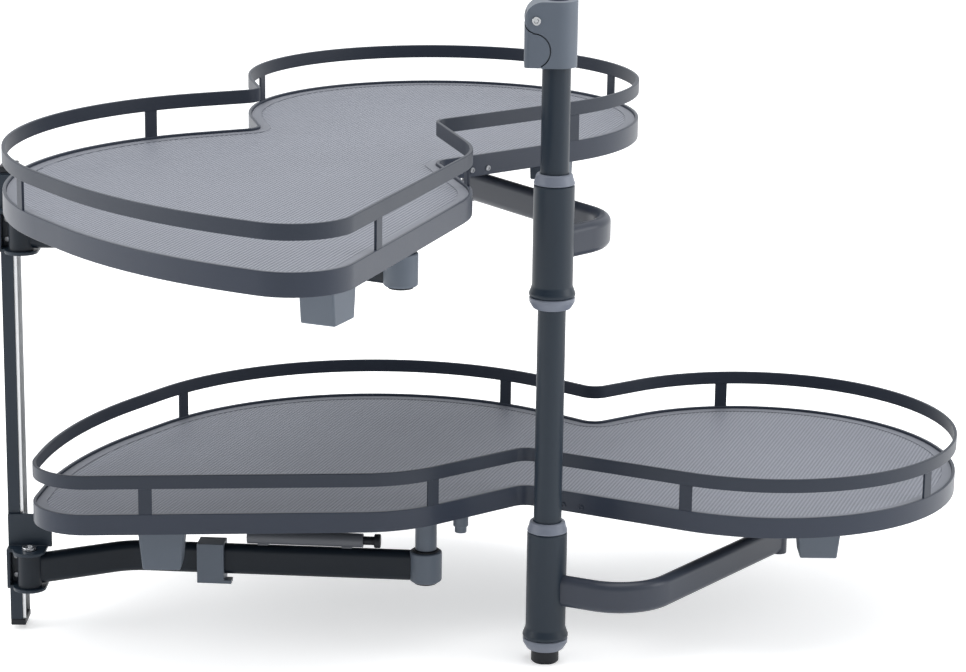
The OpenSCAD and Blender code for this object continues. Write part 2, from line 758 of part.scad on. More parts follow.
module wall_pin()
    color(steel) at(wall_pivot, guide_rise - bracket_half - bracket_t) difference() {
        union() {
            cylinder(d = wall_pin_d, h = 2 * (bracket_half + bracket_t));
            translate([0, 0, 2 * (bracket_half + bracket_t)]) cylinder(d = pin_head_d, h = pin_head_h);
            translate([0, 0, -pin_head_h / 2]) cylinder(d = pin_head_d - 2, h = pin_head_h / 2);
        }
        translate([0, 0, 2 * (bracket_half + bracket_t) + pin_head_h / 2])
            cylinder(d = pin_head_d / 2, h = pin_head_h, $fn = 6);
    }

// ---- Tray, seen with the tray stored ----

module ring(outer, inner, h)
    linear_extrude(h) difference() {
        polygon(outline(outer));
        polygon(outline(inner));
    }

module board()
    color(graphite) translate([0, 0, board_z]) linear_extrude(board_t)
        polygon(outline(bar_t + sliding_gap));

module mat() {
    edge = bar_t + sliding_gap;
    color(mat_grey) translate([0, 0, mat_z]) {
        linear_extrude(mat_t) polygon(outline(edge));
        translate([0, 0, mat_t]) ring(edge, edge + mat_border_w, mat_border_h);
    }
}

module rim() color(graphite_light) translate([0, 0, tray_rise]) ring(0, bar_t, rim_h);

module gallery() color(graphite_light) translate([0, 0, gallery_z]) ring(0, bar_t, gallery_h);

module uprights()
    color(graphite_light) for (u = UPRIGHTS)
        at(upright_at(u), tray_rise + rim_h) rotate([0, 0, upright_heading(u)])
            translate([-upright_w / 2, -bar_t / 2 + 0.4, 0])
                cube([upright_w, bar_t - 0.8, gallery_gap]);

// Steel hub under the small lobe, turning on the swing arm's pin.
module tray_hub()
    color(graphite) at(arm_tip, 0) difference() {
        union() {
            translate([0, 0, board_z - hub_plate_t]) cylinder(d = hub_plate_d, h = hub_plate_t);
            translate([0, 0, arm_top + sliding_gap])
                cylinder(d = hub_d, h = board_z - arm_top - sliding_gap);
        }
        translate([0, 0, arm_top]) cylinder(
            d = pivot_d + 2 * running_fit, h = board_z - hub_plate_t - arm_top);
    }

// Plate and neck that stand on the guide arm's knuckle.
module guide_boss() {
    neck_foot = guide_top + washer_t + sliding_gap;
    color(blue_grey) at(guide_pivot, 0) {
        translate([-boss_plate_w / 2, -boss_plate_w / 2, board_z - boss_plate_t])
            cube([boss_plate_w, boss_plate_w, boss_plate_t]);
        translate([0, 0, neck_foot]) cylinder(d = boss_d, h = board_z - boss_plate_t - neck_foot);
    }
}

// Wedge-shaped blocks that the loaded tray rests on.
module support_blocks() {
    slant = (block_w - block_foot_w) / 2;
    color(blue_grey) for (p = [front_block_at, side_block_at])
        at(p, board_z) translate([0, block_depth / 2, 0]) rotate([90, 0, 0])
            linear_extrude(block_depth) polygon([
                [-block_w / 2, 0], [-block_w / 2 + slant, -block_h],
                [block_w / 2 - slant, -block_h], [block_w / 2, 0]
            ]);
}

module stop_buffer() {
    color(blue_grey) at(buffer_at, board_z - buffer_len + buffer_pad_h)
        cylinder(d = buffer_d, h = buffer_len - buffer_pad_h);
    color(black) at(buffer_at, board_z - buffer_len)
        cylinder(d = buffer_d - 3, h = buffer_pad_h);
}

// Two screws low on the rim beside the front kink, into the board.
module rim_screws() {
    h = leave(2);
    past_kink = [30, 48];
    screw_z = 6;
    color(steel) for (s = past_kink) {
        p = on_disc(2, h, 0) + s * [cos(h), sin(h)];
        at(p, tray_rise + screw_z) rotate([0, 0, h]) rotate([90, 0, 0])
            cylinder(d = 5, h = 1.2);
    }
}

post_tube();
post_foot();
inner_tube();
inner_tube_guide();
clamp_head();
clamp_lever();
lever_screw();
wall_rail();
rail_liner();
rail_end_caps();
rail_screws();
lower_level() support_collar();  // lower_support_collar
lower_level() cover_collar();  // lower_cover_collar
upper_level() support_collar();  // upper_support_collar
upper_level() cover_collar();  // upper_cover_collar
lower_level() bracket();  // lower_bracket
upper_level() bracket();  // upper_bracket
lower_level() wall_pin();  // lower_wall_pin
upper_level() wall_pin();  // upper_wall_pin
lower_level() sleeve();  // lower_sleeve
upper_arm_pose() sleeve();  // upper_sleeve
lower_level() bushes();  // lower_bushes
upper_arm_pose() bushes();  // upper_bushes
lower_level() swing_arm();  // lower_swing_arm
upper_arm_pose() swing_arm();  // upper_swing_arm
lower_level() tray_pin();  // lower_tray_pin
upper_arm_pose() tray_pin();  // upper_tray_pin
lower_level() guide_arm();  // lower_guide_arm
upper_guide_pose() guide_arm();  // upper_guide_arm
lower_level() knuckle();  // lower_knuckle
upper_guide_pose() knuckle();  // upper_knuckle
lower_level() knuckle_caps();  // lower_knuckle_caps
upper_guide_pose() knuckle_caps();  // upper_knuckle_caps
lower_level() arm_clip();  // lower_arm_clip
upper_guide_pose() arm_clip();  // upper_arm_clip
lower_level() damper();  // lower_damper
upper_guide_pose() damper();  // upper_damper
lower_level() plunger();  // lower_plunger
upper_guide_pose() plunger();  // upper_plunger
lower_level() board();  // lower_board
upper_tray_pose() board();  // upper_board
lower_level() mat();  // lower_mat
upper_tray_pose() mat();  // upper_mat
lower_level() rim();  // lower_rim
upper_tray_pose() rim();  // upper_rim
lower_level() gallery();  // lower_gallery
upper_tray_pose() gallery();  // upper_gallery
lower_level() uprights();  // lower_uprights
upper_tray_pose() uprights();  // upper_uprights
lower_level() tray_hub();  // lower_tray_hub
upper_tray_pose() tray_hub();  // upper_tray_hub
lower_level() guide_boss();  // lower_guide_boss
upper_tray_pose() guide_boss();  // upper_guide_boss
lower_level() support_blocks();  // lower_support_blocks
upper_tray_pose() support_blocks();  // upper_support_blocks
lower_level() stop_buffer();  // lower_stop_buffer
upper_tray_pose() stop_buffer();  // upper_stop_buffer
lower_level() rim_screws();  // lower_rim_screws
upper_tray_pose() rim_screws();  // upper_rim_screws
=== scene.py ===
"""Two kidney-shaped swing-out trays on a post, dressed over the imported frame."""

from __future__ import annotations

import json
import logging
import math
from abc import ABC, abstractmethod
from dataclasses import dataclass, field
from enum import Enum
from typing import Any, Union

import bmesh
import bpy
from bpy.types import Material, Mesh, NodeSocket, NodeTree, Object
from mathutils import Matrix, Vector

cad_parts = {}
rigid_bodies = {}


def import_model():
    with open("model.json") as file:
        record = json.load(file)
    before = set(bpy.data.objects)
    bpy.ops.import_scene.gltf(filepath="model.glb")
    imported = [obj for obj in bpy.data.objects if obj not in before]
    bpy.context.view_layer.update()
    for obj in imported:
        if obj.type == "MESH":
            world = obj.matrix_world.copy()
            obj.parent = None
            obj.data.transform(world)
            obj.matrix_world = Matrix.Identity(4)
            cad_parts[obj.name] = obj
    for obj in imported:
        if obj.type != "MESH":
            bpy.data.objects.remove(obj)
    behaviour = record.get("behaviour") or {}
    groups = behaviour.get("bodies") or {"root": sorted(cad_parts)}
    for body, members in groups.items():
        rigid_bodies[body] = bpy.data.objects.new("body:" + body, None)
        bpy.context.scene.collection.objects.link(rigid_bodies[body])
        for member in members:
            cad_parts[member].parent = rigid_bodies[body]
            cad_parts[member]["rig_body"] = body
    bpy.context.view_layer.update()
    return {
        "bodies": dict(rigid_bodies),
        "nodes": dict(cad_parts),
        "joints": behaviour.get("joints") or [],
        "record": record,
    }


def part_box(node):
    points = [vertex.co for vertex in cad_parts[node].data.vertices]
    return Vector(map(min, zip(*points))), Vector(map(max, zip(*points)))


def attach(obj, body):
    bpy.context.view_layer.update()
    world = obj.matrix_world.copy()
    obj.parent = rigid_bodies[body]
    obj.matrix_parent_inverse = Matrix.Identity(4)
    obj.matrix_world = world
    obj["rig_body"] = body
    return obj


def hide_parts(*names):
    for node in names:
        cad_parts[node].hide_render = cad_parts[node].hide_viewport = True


LOG = logging.getLogger("swing_out_unit")

MM = 0.001
# Corners nearer to each other than this are one corner.
WELD = 0.002 * MM
# Corners this near to a ring's top lie in its top face.
LEVEL_GAP = 0.01 * MM
# Faces that meet at less than this are one face.
FLAT_ANGLE = math.radians(0.4)
# Edges sharper than this stay sharp and are rounded.
CREASE_ANGLE = math.radians(32)
# Sides of a rounded edge, of a bar's edge, of the arms' edge and of the arms' bend.
EDGE_STEPS = 2
BAR_STEPS = 3
ARM_STEPS = 6
BEND_STEPS = 24
# Sides of a barrel and of a screw head.
DRUM_SIDES = 64
HEAD_SIDES = 32
# A hexagon's reach to a corner, as a share of its width over the flats.
HEXAGON_REACH = 0.577

Colour = tuple[float, float, float]
Spot = tuple[float, float, float]
Pair = tuple[float, float]
Points = list[Vector]
Value = Union["Term", float, int, tuple, list]


class MathOp(Enum):
    """The Math node operations that the finishes and shapes use."""

    ADD = "ADD"
    SUBTRACT = "SUBTRACT"
    MULTIPLY = "MULTIPLY"
    DIVIDE = "DIVIDE"
    SINE = "SINE"


class Level(Enum):
    """The two storeys of the unit, by the prefix of their nodes."""

    LOWER = "lower"
    UPPER = "upper"


@dataclass
class Term:
    """A shader socket that can be used in Python expressions."""

    graph: Graph
    socket: NodeSocket

    def __add__(self, other: Value) -> Term:
        """Sum."""
        return self.graph.maths(MathOp.ADD, self, other)

    def __radd__(self, other: Value) -> Term:
        """Sum with a number on the left."""
        return self.graph.maths(MathOp.ADD, other, self)

    def __sub__(self, other: Value) -> Term:
        """Difference."""
        return self.graph.maths(MathOp.SUBTRACT, self, other)

    def __rsub__(self, other: Value) -> Term:
        """Difference with a number on the left."""
        return self.graph.maths(MathOp.SUBTRACT, other, self)

    def __mul__(self, other: Value) -> Term:
        """Product."""
        return self.graph.maths(MathOp.MULTIPLY, self, other)

    def __rmul__(self, other: Value) -> Term:
        """Product with a number on the left."""
        return self.graph.maths(MathOp.MULTIPLY, other, self)

    def __truediv__(self, other: Value) -> Term:
        """Quotient."""
        return self.graph.maths(MathOp.DIVIDE, self, other)

    def __rtruediv__(self, other: Value) -> Term:
        """Quotient with a number on the left."""
        return self.graph.maths(MathOp.DIVIDE, other, self)

    def sine(self) -> Term:
        """Sine of the term, in radians."""
        return self.graph.maths(MathOp.SINE, self)

    def between(self, low: float, high: float) -> Term:
        """Smooth step of the term, from 0 at the low value to 1 at the high one."""
        return self.graph.term(
            "ShaderNodeMapRange", {"interpolation_type": "SMOOTHSTEP"},
            {"Value": self, "From Min": low, "From Max": high}, "Result",
        )


@dataclass
class Wiring:
    """A node tree that is written as calls."""

    tree: NodeTree

    def node(
        self, kind: str, settings: dict[str, Any] | None = None,
        inputs: dict[Any, Any] | None = None, output: Any = 0,
    ) -> NodeSocket:
        """Adds a node, its settings first and its inputs next.

        Args:
            kind: the node's type.
            settings: the node's own properties.
            inputs: values, terms or sockets, by socket name or number.
            output: name or number of the socket that is wanted.

        Returns:
            That output socket.
        """
        made = self.tree.nodes.new(kind)
        for key, value in (settings or {}).items():
            setattr(made, key, value)
        for key, value in (inputs or {}).items():
            value = value.socket if isinstance(value, Term) else value
            if isinstance(value, NodeSocket):
                self.tree.links.new(value, made.inputs[key])
            else:
                made.inputs[key].default_value = value
        return made.outputs[output]

    def maths(self, operation: MathOp, *values: Any) -> Any:
        """The result of a Math node on some values."""
        settings = {"operation": operation.value}
        return self.node("ShaderNodeMath", settings, dict(enumerate(values)))


class Graph(Wiring):
    """The node tree of one material, written as expressions."""

    def __init__(self, material: Material) -> None:
        """Empties the tree of a material, to fill it anew.

        Args:
            material: the material.
        """
        material.use_nodes = True
        super().__init__(material.node_tree)
        self.tree.nodes.clear()

    def term(self, *wanted: Any) -> Term:
        """The output of a new node, which is asked for as in node, as a term."""
        return Term(self, self.node(*wanted))

    def maths(self, operation: MathOp, *values: Value) -> Term:
        """The result of a Math node on some values, as a term."""
        return Term(self, super().maths(operation, *values))

    def mix(self, share: Value, first: Value, second: Value) -> Term:
        """Two colours, mixed by the share of the second one."""
        colours = {0: share, 6: first, 7: second}
        return self.term("ShaderNodeMix", {"data_type": "RGBA"}, colours, 2)

    def place(self) -> Term:
        """Object coordinates in metres."""
        return self.term("ShaderNodeTexCoord", None, None, "Object")

    def noise(self, place: Term, grain: float, detail: float = 2.0) -> Term:
        """Noise from 0 to 1, by the size of its features and its count of finer layers."""
        values = {"Vector": place, "Scale": 1.0 / grain, "Detail": detail}
        return self.term("ShaderNodeTexNoise", None, values, "Fac")

    def bump(self, height: Term, depth: float) -> Term:
        """A normal from a height of 0 to 1, whose full depth is in metres."""
        values = {"Height": height, "Distance": depth}
        return self.term("ShaderNodeBump", None, values, "Normal")

    def surface(self, inputs: dict[str, Value]) -> None:
        """Ends the tree in a Principled surface.

        Args:
            inputs: values or terms of its sockets.
        """
        skin = self.node("ShaderNodeBsdfPrincipled", None, inputs)
        end = self.tree.nodes.new("ShaderNodeOutputMaterial")
        self.tree.links.new(skin, end.inputs["Surface"])


def rgba(colour: Colour, factor: float = 1.0) -> tuple[float, float, float, float]:
    """A colour with full alpha, made lighter or darker by a factor."""
    return (*(min(1.0, part * factor) for part in colour), 1.0)


@dataclass(frozen=True)
class Finish(ABC):
    """A surface that several pieces share."""

    title: str
    colour: Colour

    def material(self) -> Material:
        """The finish as a material.

        Returns:
            The material, which is made once.
        """
        known = bpy.data.materials.get(self.title)
        if known is None:
            known = bpy.data.materials.new(self.title)
            self.fill(Graph(known))
        return known

    def clouded(self, graph: Graph, cloud: Term, tones: Pair) -> Term:
        """The colour, from its darker to its lighter tone as the cloud goes."""
        dark, light = tones
        return graph.mix(cloud, rgba(self.colour, dark), rgba(self.colour, light))

    @abstractmethod
    def fill(self, graph: Graph) -> None:
        """Builds the finish's nodes."""


@dataclass(frozen=True)
class PowderCoat(Finish):
    """Satin powder coat with its faint orange peel."""

    roughness: float = 0.42
    specular: float = 0.32
    cloud: float = 60 * MM
    tones: Pair = (0.93, 1.08)
    peel: float = 1.1 * MM
    depth: float = 0.03 * MM
    speck: float = 0.5 * MM
    speck_edges: Pair = (0.35, 0.75)
    speck_share: float = 0.25
    speck_tone: float = 1.25
    cloud_dullness: float = 0.06
    peel_gloss: float = 0.05

    def fill(self, graph: Graph) -> None:
        """Builds a slightly mottled coat with a fine peel.

        Args:
            graph: the material's tree.
        """
        place = graph.place()
        cloud = graph.noise(place, self.cloud, detail=3.0)
        peel = graph.noise(place, self.peel, detail=1.0)
        speck = graph.noise(place, self.speck).between(*self.speck_edges)
        tone = self.clouded(graph, cloud, self.tones)
        bright = rgba(self.colour, self.speck_tone)
        dullness = self.roughness + cloud * self.cloud_dullness
        graph.surface({
            "Base Color": graph.mix(speck * self.speck_share, tone, bright),
            "Roughness": dullness - peel * self.peel_gloss,
            "Specular IOR Level": self.specular,
            "Normal": graph.bump(peel, self.depth),
        })


@dataclass(frozen=True)
class GrainedSkin(Finish):
    """A faintly clouded skin with a fine even grain."""

    roughness: float = 0.5
    specular: float = 0.5
    cloud: float = 25 * MM
    cloud_detail: float = 2.0
    tones: Pair = (0.95, 1.06)
    grain: float = 0.45 * MM
    grain_detail: float = 2.0
    depth: float = 0.03 * MM
    gloss_spread: float = 0.1

    def fill(self, graph: Graph) -> None:
        """Builds an even body colour with a fine grain.

        Args:
            graph: the material's tree.
        """
        place = graph.place()
        cloud = graph.noise(place, self.cloud, self.cloud_detail)
        grain = graph.noise(place, self.grain, self.grain_detail)
        dullness = self.roughness + grain * self.gloss_spread
        graph.surface({
            "Base Color": self.clouded(graph, cloud, self.tones),
            "Roughness": dullness - self.gloss_spread / 2,
            "Specular IOR Level": self.specular,
            "Normal": graph.bump(grain, self.depth),
        })


@dataclass(frozen=True)
class MouldedPlastic(GrainedSkin):
    """Injection-moulded plastic with a fine spark-eroded grain."""

    specular: float = 0.45
    depth: float = 0.025 * MM


@dataclass(frozen=True)
class SoftRubber(GrainedSkin):
    """Matt rubbery plastic of the non-slip mat."""

    roughness: float = 0.55
    specular: float = 0.35
    cloud: float = 90 * MM
    tones: Pair = (0.96, 1.04)
    grain: float = 0.4 * MM
    grain_detail: float = 1.0
    gloss_spread: float = 0.08


@dataclass(frozen=True)
class PlatedSteel(Finish):
    """Bright plated steel with faint drawn lines."""

    roughness: float = 0.2
    cloud: float = 9 * MM
    tones: Pair = (0.9, 1.05)
    lines: float = 0.35 * MM
    wobble: float = 4 * MM
    wobble_reach: float = 3.0
    cloud_dullness: float = 0.1
    line_dullness: float = 0.04

    def fill(self, graph: Graph) -> None:
        """Builds a metal whose gloss varies along its lines.

        Args:
            graph: the material's tree.
        """
        place = graph.place()
        cloud = graph.noise(place, self.cloud, detail=3.0)
        wobble = graph.noise(place, self.wobble) * self.wobble_reach
        rise = graph.term("ShaderNodeSeparateXYZ", None, {0: place}, "Z")
        line = (rise / self.lines + wobble).sine() * 0.5 + 0.5
        dullness = self.roughness + cloud * self.cloud_dullness
        graph.surface({
            "Base Color": self.clouded(graph, cloud, self.tones),
            "Metallic": 1.0,
            "Roughness": dullness + line * self.line_dullness,
        })


@dataclass(frozen=True)
class LitFloor(Finish):
    """A matt studio floor that is lit from below, so that shadows on it stay faint."""

    roughness: float = 0.9
    glow: float = 0.5

    def fill(self, graph: Graph) -> None:
        """Builds an even matt surface that glows."""
        graph.surface({
            "Base Color": rgba(self.colour), "Roughness": self.roughness,
            "Emission Color": rgba(self.colour), "Emission Strength": self.glow,
        })


GRAPHITE = PowderCoat("graphite powder coat", (0.009, 0.017, 0.028), roughness=0.4)
SLATE = PowderCoat("slate powder coat", (0.020, 0.027, 0.044), roughness=0.36)
# A darker copy of the slate coat for the gallery and uprights, as painted shade.
SHADED_SLATE = PowderCoat("slate powder coat painted darker as shade", (0.0165, 0.0225, 0.036))
# A lighter copy of the slate coat for the swing arms, as painted light.
LIT_SLATE = PowderCoat("slate powder coat painted lighter as lit", (0.029, 0.035, 0.050), roughness=0.34)
# A darker copy of the graphite coat for the guide arms, as painted shade.
SHADED_GRAPHITE = PowderCoat("graphite powder coat painted darker as shade", (0.004, 0.008, 0.014), specular=0.26)
BLUE_GREY = MouldedPlastic("blue-grey plastic", (0.080, 0.099, 0.128), roughness=0.45)
COLLAR_GREY = MouldedPlastic(
    "light blue-grey plastic", (0.128, 0.144, 0.182), roughness=0.42
)
DAMPER_GREY = MouldedPlastic("damper grey plastic", (0.088, 0.094, 0.108), roughness=0.38)
BLACK_PLASTIC = MouldedPlastic("black plastic", (0.007, 0.009, 0.013), specular=0.3)
BRIGHT_STEEL = PlatedSteel("bright plated steel", (0.58, 0.59, 0.61))
LEVER_STEEL = PlatedSteel("polished screw steel", (0.42, 0.43, 0.44), roughness=0.16)
SCREW_STEEL = PlatedSteel("dull plated screws", (0.30, 0.31, 0.33), roughness=0.36)
RAIL_STEEL = PlatedSteel("satin plated rail", (0.62, 0.63, 0.64), roughness=0.3)
DARK_FOIL = GrainedSkin(
    "dark foiled board", (0.030, 0.036, 0.045), roughness=0.48, cloud=40 * MM,
    cloud_detail=3.0, tones=(0.92, 1.1), grain=0.8 * MM,
)
MAT_FLOOR = SoftRubber("grey mat", (0.174, 0.183, 0.212))
# The ribs wear a lighter copy of the mat's grey: painted light on the rib tops against the
# darker mat floor between them.
LIT_MAT_RIBS = SoftRubber("grey mat ribs painted lighter as lit", (0.226, 0.237, 0.275), roughness=0.5)
PALE_FLOOR = LitFloor("pale studio floor", (0.93, 0.93, 0.93))


class Growth(Wiring):
    """A Geometry Nodes tree, written as calls, whose sizes are named inputs."""

    def __init__(self, title: str) -> None:
        """Starts a tree with a geometry going in and one coming out.

        Args:
            title: the tree's name.
        """
        super().__init__(bpy.data.node_groups.new(title, "GeometryNodeTree"))
        self.tree.interface.new_socket(
            "Geometry", in_out="OUTPUT", socket_type="NodeSocketGeometry"
        )
        self.start = self.tree.nodes.new("NodeGroupInput")
        self.end = self.tree.nodes.new("NodeGroupOutput")
        self.source = self.takes("Geometry", "NodeSocketGeometry")
        self.finish = self.takes("Finish", "NodeSocketMaterial")

    def takes(self, name: str, kind: str = "NodeSocketFloat") -> NodeSocket:
        """Adds an input of that name and kind and gives the socket that brings it."""
        self.tree.interface.new_socket(name, in_out="INPUT", socket_type=kind)
        return self.start.outputs[name]

    def times(self, size: Any, factor: float) -> NodeSocket:
        """A size multiplied by a factor."""
        return self.maths(MathOp.MULTIPLY, size, factor)

    def upwards(self, height: Any) -> NodeSocket:
        """A vector that points up, or a turn about the upright."""
        return self.node("ShaderNodeCombineXYZ", None, {"Z": height})

    def moved(self, solid: NodeSocket, place: Any) -> NodeSocket:
        """A solid that is moved from the origin to a place."""
        values = {"Geometry": solid, "Translation": place}
        return self.node("GeometryNodeTransform", None, values)

    def mark(self, name: str, kind: str) -> NodeSocket:
        """A value that each point going in carries."""
        return self.node("GeometryNodeInputNamedAttribute", {"data_type": kind}, {"Name": name})

    def drum(self, place: Any, diameter: Any, height: Any) -> NodeSocket:
        """An upright cylinder, by its centre, diameter and height."""
        sizes = {"Vertices": DRUM_SIDES, "Radius": self.times(diameter, 0.5), "Depth": height}
        return self.moved(self.node("GeometryNodeMeshCylinder", None, sizes, "Mesh"), place)

    def boolean(self, operation: str, *solids: NodeSocket) -> NodeSocket:
        """Joins solids, or cuts the first one with the others.

        Args:
            operation: UNION or DIFFERENCE.
            solids: the solids.

        Returns:
            The resulting solid.
        """
        made = self.tree.nodes.new("GeometryNodeMeshBoolean")
        made.operation = operation
        made.solver = "EXACT"
        for number, solid in enumerate(solids):
            is_cut = operation == "DIFFERENCE" and number == 0
            self.tree.links.new(solid, made.inputs["Mesh 1" if is_cut else "Mesh 2"])
        return made.outputs[0]

    def creased(self, solid: NodeSocket) -> NodeSocket:
        """Shades a solid smooth, apart from its sharp edges.

        Args:
            solid: the solid.

        Returns:
            The shaded solid.
        """
        smooth = self.node(
            "GeometryNodeSetShadeSmooth", {"domain": "FACE"},
            {"Geometry": solid, "Shade Smooth": True},
        )
        bend = self.node("GeometryNodeInputMeshEdgeAngle", None, None, "Unsigned Angle")
        sharp = self.node(
            "FunctionNodeCompare", {"data_type": "FLOAT", "operation": "GREATER_THAN"},
            {0: bend, 1: CREASE_ANGLE},
        )
        return self.node(
            "GeometryNodeSetShadeSmooth", {"domain": "EDGE"},
            {"Geometry": smooth, "Selection": sharp, "Shade Smooth": False},
        )

    def section(self, width: str, height: str, steps: int) -> NodeSocket:
        """Section of a flat bar with rounded edges, whose sizes are inputs.

        Args:
            width: the name of the input for its width.
            height: the name of the input for its height.
            steps: how many sides each rounded edge has.

        Returns:
            The section as a closed curve.
        """
        sizes = {0: self.takes(width), 1: self.takes(height)}
        plain = self.node("GeometryNodeCurvePrimitiveQuadrilateral", None, sizes)
        return self.node(
            "GeometryNodeFilletCurve", {"mode": "POLY"},
            {"Curve": plain, "Radius": self.takes("Edge Radius"), "Count": steps,
             "Limit Radius": True},
        )

    def path(self) -> NodeSocket:
        """The lines that go in, as curves."""
        return self.node("GeometryNodeMeshToCurve", None, {"Mesh": self.source})

    def upright(self, line: NodeSocket) -> NodeSocket:
        """A line along which a section stays upright."""
        return self.node("GeometryNodeSetCurveNormal", {"mode": "Z_UP"}, {"Curve": line})

    def swept(self, line: NodeSocket, section: NodeSocket) -> NodeSocket:
        """A section swept along a line, closed at both ends."""
        values = {"Curve": line, "Profile Curve": section, "Fill Caps": True}
        return self.node("GeometryNodeCurveToMesh", None, values)

    def ends(self, geometry: NodeSocket) -> NodeTree:
        """Ends the tree in real geometry that wears its finish.

        Args:
            geometry: what the tree has made.

        Returns:
            The finished tree.
        """
        real = self.node("GeometryNodeRealizeInstances", None, {"Geometry": geometry})
        worn = self.node(
            "GeometryNodeSetMaterial", None, {"Geometry": real, "Material": self.finish}
        )
        self.tree.links.new(worn, self.end.inputs[0])
        return self.tree

    def ends_on_points(self, item: NodeSocket, turn: NodeSocket) -> NodeTree:
        """Ends the tree in one solid on each point, turned as the point says."""
        values = {"Points": self.source, "Instance": item, "Rotation": turn}
        return self.ends(self.node("GeometryNodeInstanceOnPoints", None, values))


def bar_on_path() -> NodeTree:
    """Tree that sweeps a flat bar along each line of a path.

    Returns:
        The tree.
    """
    growth = Growth("flat bar on a path")
    section = growth.section("Thickness", "Height", BAR_STEPS)
    return growth.ends(growth.swept(growth.upright(growth.path()), section))


def bent_arm(bored: bool) -> NodeTree:
    """Tree that bends a flat-oval tube, adds a barrel and cuts what the arm seats on.

    Args:
        bored: whether the barrel has a bore.

    Returns:
        The tree.
    """
    past_barrel, past_tube = 1.2, 1.4
    growth = Growth("bent arm of flat-oval tube")
    section = growth.section("Thickness", "Height", ARM_STEPS)
    bent = growth.node(
        "GeometryNodeFilletCurve", {"mode": "POLY"},
        {"Curve": growth.path(), "Radius": growth.takes("Bend Radius"), "Count": BEND_STEPS},
    )
    tube = growth.swept(growth.upright(bent), section)
    place = growth.takes("Barrel Place", "NodeSocketVector")
    height = growth.takes("Barrel Height")
    barrel = growth.drum(place, growth.takes("Barrel Diameter"), height)
    bore = growth.drum(place, growth.takes("Bore Diameter"), growth.times(height, past_barrel))
    seat = growth.drum(
        growth.takes("Seat Place", "NodeSocketVector"), growth.takes("Seat Diameter"),
        growth.times(height, past_tube),
    )
    joined = growth.boolean("UNION", tube, barrel)
    cutters = [seat, bore] if bored else [seat]
    return growth.ends(growth.creased(growth.boolean("DIFFERENCE", joined, *cutters)))


def bars_on_points() -> NodeTree:
    """Tree that stands a short flat bar on each point, turned to the point's heading.

    Returns:
        The tree.
    """
    growth = Growth("flat bars on points")
    section = growth.section("Width", "Thickness", BAR_STEPS)
    half = growth.times(growth.takes("Height"), 0.5)
    line = growth.node(
        "GeometryNodeCurvePrimitiveLine", None,
        {"Start": growth.upwards(growth.times(half, -1.0)), "End": growth.upwards(half)},
    )
    turn = growth.upwards(growth.mark("heading", "FLOAT"))
    return growth.ends_on_points(growth.swept(line, section), turn)


def screws_on_points() -> NodeTree:
    """Tree that sets a socket-head screw on each point, facing the point's way.

    Returns:
        The tree.
    """
    rim_share, crown_share = 0.65, 0.8
    growth = Growth("socket screws on points")
    radius = growth.times(growth.takes("Head Diameter"), 0.5)
    height = growth.takes("Head Height")
    rim = growth.times(height, rim_share)
    dome = growth.maths(MathOp.SUBTRACT, height, rim)
    drum, crown = (
        growth.node(
            "GeometryNodeMeshCone", None,
            {"Vertices": HEAD_SIDES, "Radius Bottom": radius, "Radius Top": top,
             "Depth": depth}, "Mesh",
        )
        for top, depth in ((radius, rim), (growth.times(radius, crown_share), dome))
    )
    reach = growth.times(growth.takes("Socket Width"), HEXAGON_REACH)
    recess = growth.node(
        "GeometryNodeMeshCylinder", None, {"Vertices": 6, "Radius": reach, "Depth": height},
        "Mesh",
    )
    head = growth.boolean("UNION", drum, growth.moved(crown, growth.upwards(rim)))
    cut = growth.boolean("DIFFERENCE", head, growth.moved(recess, growth.upwards(height)))
    turn = growth.node(
        "FunctionNodeAlignRotationToVector", {"axis": "Z"},
        {"Vector": growth.mark("facing", "FLOAT_VECTOR")},
    )
    return growth.ends_on_points(cut, turn)


def placed(name: str, data: Any) -> Object:
    """A new object that is linked to the scene.

    Args:
        name: the object's name.
        data: its mesh, lamp or camera.

    Returns:
        The object.
    """
    made = bpy.data.objects.new(name, data)
    bpy.context.scene.collection.objects.link(made)
    return made


def settled(shown: Object) -> Object:
    """Evens out an object's shading and turns its modifiers into a plain mesh.

    Args:
        shown: the object.

    Returns:
        The same object without modifiers.
    """
    shown.modifiers.new("even light", "WEIGHTED_NORMAL").keep_sharp = True
    graph = bpy.context.evaluated_depsgraph_get()
    plain = bpy.data.meshes.new_from_object(shown.evaluated_get(graph))
    shown.modifiers.clear()
    shown.data = plain
    return shown


def wire(name: str, points: list[Any], lines: list[tuple[int, int]]) -> Mesh:
    """A mesh of points and of lines between them.

    Args:
        name: the mesh's name.
        points: the places of the points.
        lines: the two points of each line.

    Returns:
        The mesh.
    """
    made = bpy.data.meshes.new(name)
    made.from_pydata(points, lines, [])
    return made


def welded(mesh: Mesh) -> bmesh.types.BMesh:
    """A working copy of a mesh whose coinciding corners are joined.

    Args:
        mesh: the mesh.

    Returns:
        The copy, which the caller frees.
    """
    work = bmesh.new()
    work.from_mesh(mesh)
    bmesh.ops.remove_doubles(work, verts=work.verts, dist=WELD)
    return work


def islands(mesh: Mesh) -> list[Points]:
    """The separate solids of a mesh, as their corners.

    Args:
        mesh: the mesh.

    Returns:
        One list of points for each solid.
    """
    work = welded(mesh)
    found: list[Points] = []
    seen: set[Any] = set()
    for first in work.verts:
        if first in seen:
            continue
        seen.add(first)
        queue, group = [first], []
        while queue:
            point = queue.pop()
            group.append(point.co.copy())
            for edge in point.link_edges:
                other = edge.other_vert(point)
                if other not in seen:
                    seen.add(other)
                    queue.append(other)
        found.append(group)
    work.free()
    return found


def middle(points: Points) -> Vector:
    """Centre of the box round some points."""
    ends = [[pick(point[k] for point in points) for k in range(3)] for pick in (min, max)]
    return (Vector(ends[0]) + Vector(ends[1])) / 2


def span(points: Points, way: Vector) -> float:
    """How far some points spread along a way."""
    reach = [point.dot(way) for point in points]
    return max(reach) - min(reach)


